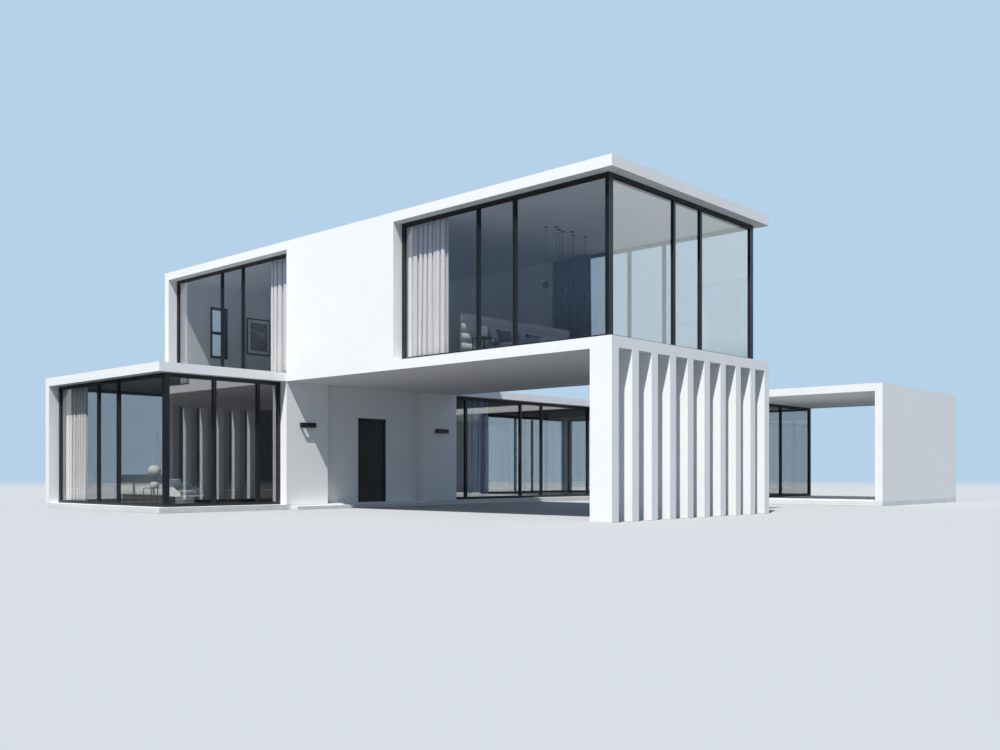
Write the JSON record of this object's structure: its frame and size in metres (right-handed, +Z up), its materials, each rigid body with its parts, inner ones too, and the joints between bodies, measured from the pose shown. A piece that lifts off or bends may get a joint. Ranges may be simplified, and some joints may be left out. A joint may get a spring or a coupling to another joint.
{
  "type": "detached house",
  "caption": "Flat-roofed modern house of three long bars round a courtyard, with an upper bar that bridges a carport and rests on a screen of fins.",
  "frame": {"origin": "on the ground, under the middle of the box over the whole plan", "axes": "+Z up, -Y faces the long front, +X is the side of the fin screen, +Y the far bar"},
  "size_m": [18.7, 25.9, 7.85],
  "materials": {
    "white_render": "smooth painted render",
    "pale_concrete": "smooth concrete",
    "black_aluminium": "satin powder coat",
    "window_glass": "clear, lightly tinted",
    "door_paint": "matt anthracite",
    "black_metal": "satin black",
    "smoked_glass": "smoked, glossy",
    "picture_print": "framed abstract print",
    "pale_curtain": "pleated pale curtain",
    "dark_curtain": "pleated dark curtain",
    "white_metal": "matt white",
    "dark_wood": "dark stained veneer, satin",
    "bed_fabric": "beige upholstery with horizontal channels",
    "bed_linen": "soft grey-blue bed linen",
    "sofa_fabric": "pale woven upholstery with upright channels",
    "chair_shell": "satin ivory shell",
    "chair_fabric": "grey-blue wool",
    "brown_leather": "brown leather with piped seams",
    "opal_glass": "white opal glass"
  },
  "bodies": {
    "house": {"west_plinth": "pale_concrete", "far_plinth": "pale_concrete", "entry_step": "pale_concrete", "upper_floor": "white_render", "upper_roof": "white_render", "front_roof": "white_render", "court_roof": "white_render", "far_roof": "white_render", "west_piers": "white_render", "west_wall": "white_render", "entry_pier_front": "white_render", "entry_pier_back": "white_render", "entry_wall_left": "white_render", "entry_wall_right": "white_render", "entry_wall_over": "white_render", "far_end_wall": "white_render", "fins": "white_render", "upper_front_wall": "white_render", "upper_back_wall": "white_render", "upper_end_wall": "white_render", "front_room_frame": "black_aluminium", "front_room_side_frame": "black_aluminium", "west_frames": "black_aluminium", "court_frame": "black_aluminium", "far_room_frames": "black_aluminium", "terrace_frame": "black_aluminium", "upper_corner_frames": "black_aluminium", "upper_side_frame": "black_aluminium", "upper_west_frames": "black_aluminium", "west_bar_glass": "window_glass", "far_room_glass": "window_glass", "upper_corner_glass": "window_glass", "upper_west_glass": "window_glass", "door_frame": "black_aluminium", "wall_lights": "black_metal", "pendant_rods": "black_metal", "pendant_globes": "smoked_glass", "picture": "picture_print", "curtain_upper_front": "pale_curtain", "curtain_upper_back": "dark_curtain", "curtain_upper_west": "pale_curtain", "curtain_front_room": "pale_curtain", "curtain_court": "pale_curtain", "curtain_tracks": "white_metal", "bed_headboard": "bed_fabric", "bed_base": "dark_wood", "bed_mattress": "bed_linen", "bed_pillows": "bed_linen", "side_tables": "black_metal", "table_lamp": "opal_glass", "sofa_base": "dark_wood", "sofa_cushions": "sofa_fabric", "lounge_chair": "chair_shell", "lounge_cushions": "chair_fabric", "poufs": "brown_leather"},
    "entry_door": {"door_leaf": "door_paint", "door_handle": "black_metal"}
  },
  "joints": [
    {"name": "door_hinge", "type": "hinge", "parent": "house", "child": "entry_door", "pos_m": [-2.7443, -5.9825, 0.175], "axis": [0, 0, 1], "range_deg": [0, 90]}
  ]
}
